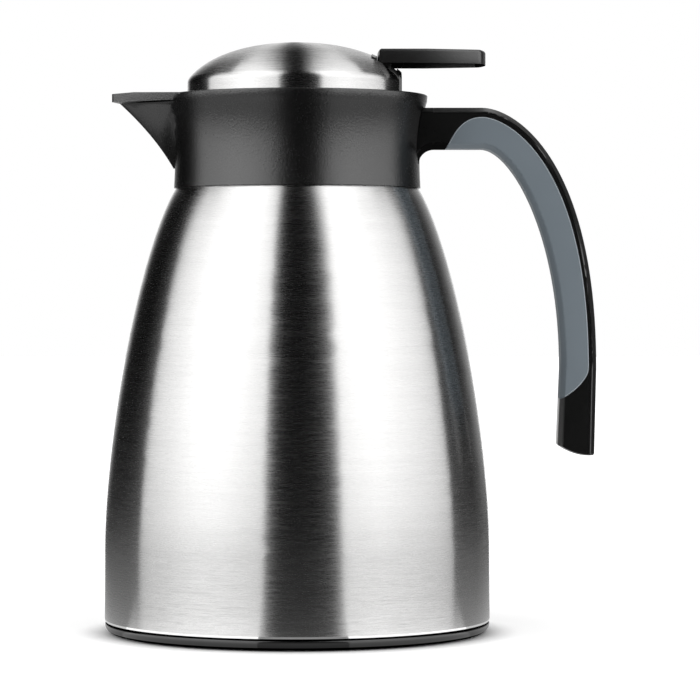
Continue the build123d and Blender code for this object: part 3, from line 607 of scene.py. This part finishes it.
def steepen(piece):
    """Turns the long rounds along the handle's sides into a fine shoulder and a steep side."""
    bpy.ops.object.mode_set(mode="OBJECT")
    back_share = (HANDLE_SIDE - SIDE_SHOULDER * SIDE_STEEP) / (HANDLE_SIDE - SIDE_ROUND)
    for corner in piece.data.vertices:
        depth = HANDLE_SIDE - abs(corner.co.y) / MM
        if depth > SIDE_ROUND:
            corner.co.y *= back_share
        elif depth > ON_SIDE:
            left = SIDE_ROUND * (1 - sqrt(max(0.0, 1 - (1 - depth / SIDE_ROUND) ** 2)))
            deeper = max(0.0, SIDE_SHOULDER - left) * SIDE_STEEP
            corner.co.y *= (HANDLE_SIDE - deeper) * MM / abs(corner.co.y)
    bpy.ops.object.mode_set(mode="EDIT")


def add_handle():
    """The handle's frame and back cover with steep sides, with painted shade on the flat sides (a
    less glossy plastic) and under the root (a matt black without reflections).
    """
    for node, name in (("handle_frame", "handle_body"), ("handle_back_cover", "handle_spine")):
        piece = copy_of(node, name)
        steepen(piece)
        close_up()
        coats = ["black_plastic", "painted_shade_side_plastic", "painted_shade_plastic"]
        install(piece, "jug", "black_plastic", coats, node)
        # Downward faces under the root get painted shade, a matt black without reflections; the
        # flat sides get a less glossy copy of the plastic as painted shade
        for face in piece.data.polygons:
            at_root = face.center.x < ROOT_END * MM and face.center.z > ROOT_FOOT * MM
            if at_root and face.normal.z < ROOT_FACING:
                face.material_index = 2
            elif abs(face.normal.y) > FLAT_FACING:
                face.material_index = 1


def add_grip():
    """The soft grip with a painted highlight, a light-coloured bevel along the edge where it meets
    the handle.
    """
    piece = copy_of("grip_insert", "soft_grip")
    steepen(piece)
    piece.data.materials.append(finishes["painted_grip_highlight"])
    bpy.ops.mesh.select_mode(type="EDGE")
    bpy.ops.mesh.select_all(action="DESELECT")
    bpy.ops.mesh.edges_select_sharp(sharpness=radians(SHARP_ANGLE))
    bpy.ops.object.mode_set(mode="OBJECT")
    flush = (HANDLE_SIDE - HAIR) * MM
    corners = piece.data.vertices
    for line in piece.data.edges:
        at_side = all(abs(corners[end].co.y) > flush for end in line.vertices)
        line.select = line.select and at_side
    bpy.ops.object.mode_set(mode="EDIT")
    bpy.ops.mesh.bevel(offset=GRIP_EDGE * MM, segments=1, material=1, clamp_overlap=False)
    close_up(GRIP_CRISP)
    install(piece, "jug", "grip_grey", ["grip_grey", "painted_grip_highlight"], "grip_insert")


def add_lever():
    """The thumb lever with softened lower edges and painted shade, a matt black without
    reflections, on its underside.
    """
    piece = copy_of("thumb_lever", "thumb_plate")

    def outer_rim(r, x, y, z):
        half = LEVER_HALF - max(0.0, x - LEVER_TAPER_START) * LEVER_TAPER
        return abs(z - LEVER_FLOOR) < HAIR and (abs(y) > half - LEVER_RIM or x > LEVER_END)

    pick_edges(piece, outer_rim)
    bpy.ops.mesh.bevel(offset=LEVER_EDGE * MM, segments=LEVER_EDGE_STEPS, clamp_overlap=True)
    close_up()
    install(piece, "lever", "black_plastic", ["black_plastic", "painted_shade_plastic"], "thumb_lever")
    # Downward faces get painted shade, a matt black without reflections
    for face in piece.data.polygons:
        if face.normal.z < UNDERSIDE_FACING:
            face.material_index = 1


def add_spring():
    """The valve's spring, which shortens under its seat as the valve lifts."""
    piece = copy_of("valve_spring", "closing_spring")
    close_up()
    install(piece, "lid", "screw_steel", ["screw_steel"], "valve_spring")
    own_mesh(piece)


def aim(thing, target):
    """Turns a lamp, card or camera so that its -Z looks at a point."""
    direction = Vector(target) - thing.location
    thing.rotation_euler = direction.to_track_quat("-Z", "Y").to_euler()


def around(azimuth, distance, height):
    """A point round the object; azimuth 0 is towards the camera, positive to the right."""
    angle = radians(azimuth)
    return (distance * sin(angle), -distance * cos(angle), height)


def span_width(start, end, distance):
    """The width of a flat card that fills an azimuth range at a distance."""
    half = radians((end - start) / 2)
    return 2 * distance * sin(half) / cos(half)


def add_panel(name, start, end, radiance, stops, tilt=0.0):
    """A tall soft lamp that fills an azimuth range round the object, graded across."""
    width = span_width(start, end, PANEL_DISTANCE)
    lamp = bpy.data.lights.new(name, "AREA")
    lamp.shape = "RECTANGLE"
    lamp.size = width
    lamp.size_y = PANEL_TOP - PANEL_FOOT
    lamp.energy = radiance * pi * lamp.size * lamp.size_y
    glow = Shading(lamp)
    across, up, _ = glow.split(glow.node("NewGeometry", {}, {}).outputs["Parametric"])
    graded = Value(glow, glow.ramp(across, stops)) * Value(glow, glow.ramp(up, PANEL_RISE))
    colour = glow.ramp(graded, [(0.0, 0.0), (1.0, 1.0)])
    shine = glow.node("Emission", {}, {"Color": colour, "Strength": 1.0})
    glow.node("OutputLight", {}, {"Surface": shine.outputs["Emission"]})
    panel = bpy.data.objects.new(name, lamp)
    bpy.context.scene.collection.objects.link(panel)
    middle = (PANEL_TOP + PANEL_FOOT) / 2
    panel.location = around((start + end) / 2, PANEL_DISTANCE, middle)
    aim(panel, (0, 0, middle))
    panel.rotation_euler.rotate_axis("Z", radians(tilt))
    panel.visible_camera = False


def matt_finish(name, level):
    """A plain matt black that swallows light, used as painted shade in gaps and under things."""
    matt = {"Base Color": grey(level), "Roughness": 1.0, "Specular IOR Level": 0.0}
    return finish_of(name).surface(matt)


def glowing(finish, glow, strength=1.0):
    """A black surface with a glow of its own."""
    return finish.surface({
        "Base Color": grey(0.0), "Roughness": 1.0, "Specular IOR Level": 0.0,
        "Emission Color": glow, "Emission Strength": strength,
    })


def hide_from_camera(card):
    """Leaves a card to reflections alone, as part of the studio."""
    card.visible_camera = False
    card.visible_diffuse = False
    card.visible_shadow = False


def add_flag(name, start, end, side, stops, top):
    """A dark upright card that fills an azimuth range, graded from one side, -1 or 1."""
    finish = finish_of(name)
    across, _, _ = finish.place()
    glow = finish.ramp(across * side + 0.5, stops)
    middle = (FLAG_FOOT + top) / 2
    place = around((start + end) / 2, FLAG_DISTANCE, middle)
    bpy.ops.mesh.primitive_plane_add(size=1.0, location=place)
    card = bpy.context.object
    card.name = name
    card.scale = (span_width(start, end, FLAG_DISTANCE), top - FLAG_FOOT, 1.0)
    aim(card, (0, 0, middle))
    card.data.materials.append(glowing(finish, glow))
    hide_from_camera(card)


def add_ceiling():
    """A card overhead with a lit strip on each side, seen only in reflections."""
    bpy.ops.mesh.primitive_plane_add(size=1.0, location=(*CEILING_PLACE, CEILING_HEIGHT))
    card = bpy.context.object
    card.name = "ceiling"
    card.scale = (*CEILING_SIZE, 1.0)
    finish = finish_of("ceiling")
    across, _, _ = finish.place()
    glow = finish.ramp(across + 0.5, CEILING_STOPS)
    card.data.materials.append(glowing(finish, glow, CEILING_GLOW))
    hide_from_camera(card)


def add_floor_wedge(name, start, end, fade):
    """A card on the floor that fills an azimuth range, graded outwards, for reflections: a painted
    floor reflection with a painted contact shadow next to the body.
    """
    bpy.ops.mesh.primitive_plane_add(size=1.0, location=(0, 0, 0))
    card = bpy.context.object
    card.name = name
    for corner in card.data.vertices:
        azimuth = end if corner.co.x > 0 else start
        near = Vector(around(azimuth / 2, WEDGE_START, FLOOR_CARD_HEIGHT))
        corner.co = near if corner.co.y > 0 else near + Vector(around(azimuth, WEDGE_LENGTH, 0))
    finish = finish_of(name)
    x, y, _ = finish.place()
    glow = finish.ramp((x * x + y * y).root() / WEDGE_LENGTH, fade)
    card.data.materials.append(glowing(finish, glow, WEDGE_GLOW))
    hide_from_camera(card)


def add_floor():
    """A pale floor that goes over into the white background away from the object."""
    bpy.ops.mesh.primitive_plane_add(size=FLOOR_SIZE, location=(0, 0, 0))
    floor = bpy.context.object
    floor.name = "floor"
    finish = finish_of("pale_floor")
    x, y, _ = finish.place()
    away = (x * x + y * y).root() / FLOOR_FADE
    floor.data.materials.append(finish.surface({
        "Base Color": grey(FLOOR_GREY),
        "Roughness": 0.9,
        "Specular IOR Level": 0.1,
        "Emission Color": finish.ramp(away, FLOOR_GLOW),
        "Emission Strength": 1.0,
    }))


def add_world():
    """White to the camera and in reflections, a soft fill for everything else."""
    world = bpy.data.worlds.new("studio")
    bpy.context.scene.world = world
    sky = Shading(world)
    rays = sky.node("LightPath", {}, {})
    seen = Value(sky, rays.outputs["Is Camera Ray"])
    for kind in ("Is Glossy Ray", "Is Transmission Ray"):
        seen = seen.or_more(Value(sky, rays.outputs[kind]))
    strength = seen * (1.0 - WORLD_FILL) + WORLD_FILL
    background = sky.node("Background", {}, {"Color": grey(1.0), "Strength": strength})
    sky.node("OutputWorld", {}, {"Surface": background.outputs["Background"]})


def add_camera():
    """The camera at the reference view."""
    data = bpy.data.cameras.new("camera")
    data.lens = CAMERA_LENS
    data.sensor_width = SENSOR_WIDTH
    camera = bpy.data.objects.new("camera", data)
    bpy.context.scene.collection.objects.link(camera)
    camera.location = CAMERA_PLACE
    aim(camera, CAMERA_AIM)
    bpy.context.scene.camera = camera


bpy.ops.object.select_all(action="DESELECT")
add_camera()
add_world()
add_floor()
add_panel("panel_left", *PANEL_LEFT, PANEL_RADIANCE, PANEL_LEFT_STOPS)
add_panel("panel_right", *PANEL_RIGHT, PANEL_RADIANCE, PANEL_RIGHT_STOPS, PANEL_RIGHT_TILT)
add_flag("flag_centre", *CENTRE_FLAG, 1, CENTRE_FLAG_FADE, FLAG_TOP)
add_flag("flag_left", *SIDE_FLAG_LEFT, -1, LEFT_FLAG_FADE, SIDE_FLAG_TOP)
add_flag("flag_right", *SIDE_FLAG_RIGHT, 1, RIGHT_FLAG_FADE, SIDE_FLAG_TOP)
add_ceiling()
add_floor_wedge("wedge_centre", *CENTRE_FLAG, CENTRE_WEDGE_FADE)
add_floor_wedge("wedge_left", *SIDE_FLAG_LEFT, SIDE_WEDGE_FADE)
add_floor_wedge("wedge_right", *SIDE_FLAG_RIGHT, SIDE_WEDGE_FADE)
add_floor_wedge("wedge_lit_left", SIDE_FLAG_LEFT[1], CENTRE_FLAG[0], LIT_WEDGE_FADE)
add_floor_wedge("wedge_lit_right", CENTRE_FLAG[1], SIDE_FLAG_RIGHT[0], LIT_WEDGE_FADE)

finishes = {
    "brushed_shell": brushed_steel(
        "brushed_steel", grey(0.46, 0.005), grey(0.66, 0.005), 0.26, 3e-6
    ),
    "flask_steel": plain_metal("flask_steel", grey(0.42), grey(0.52), 0.3),
    "glass_bead": moulded_plastic("solder_glass", grey(0.3, 0.1), grey(0.4, 0.1), 0.3, 1e-6),
    "black_plastic": moulded_plastic("black_plastic", grey(0.0006), grey(0.001), 0.3, 3e-5),
    "grip_grey": soft_rubber(
        "grey_grip", (0.112, 0.136, 0.155, 1), (0.128, 0.152, 0.172, 1), 0.6, 6e-6
    ),
    "pad_rubber": soft_rubber("pad_rubber", grey(0.012), grey(0.02), 0.75, 1e-5),
    "silicone": soft_rubber("silicone", grey(0.5, 0.01), grey(0.58, 0.01), 0.45, 3e-6),
    "screw_steel": plain_metal("screw_steel", grey(0.5), grey(0.6), 0.22),
    # Bright edge metal: partly a polished trim, partly a painted highlight
    "polished_edge_and_highlight": plain_metal("polished_edge_and_highlight", grey(0.85), grey(0.95), 0.06),
    # A matt black without reflections: painted shade in the base's gap and on its foot
    "painted_shade_black": matt_finish("painted_shade_black", 0.0005),
    # A matt black without reflections: painted shade under the handle's root and the lever
    "painted_shade_plastic": matt_finish("painted_shade_plastic", 0.004),
    # A less glossy copy of the black plastic for the handle's flat sides: painted shade that
    # darkens their reflections
    "painted_shade_side_plastic": moulded_plastic("painted_shade_side_plastic", grey(0.0006), grey(0.001), 0.3, 3e-5, 0.45),
    "collar_plastic": moulded_plastic("collar_plastic", grey(0.0006), grey(0.001), 0.25, 7e-5, 0.9),
    "base_plastic": moulded_plastic("base_plastic", grey(0.0006), grey(0.001), 0.17, 8e-6),
    # A light-coloured rubber on the grip's edge bevel: a painted highlight
    "painted_grip_highlight": soft_rubber(
        "painted_grip_highlight", (0.36, 0.4, 0.43, 1), (0.42, 0.46, 0.49, 1), 0.5, 2e-6
    ),
}
dress(finishes)
add_steel_body()
add_base_cup()
add_collar()
add_handle()
add_grip()
add_lever()
add_spring()

bpy.context.scene.view_settings.view_transform = "Standard"
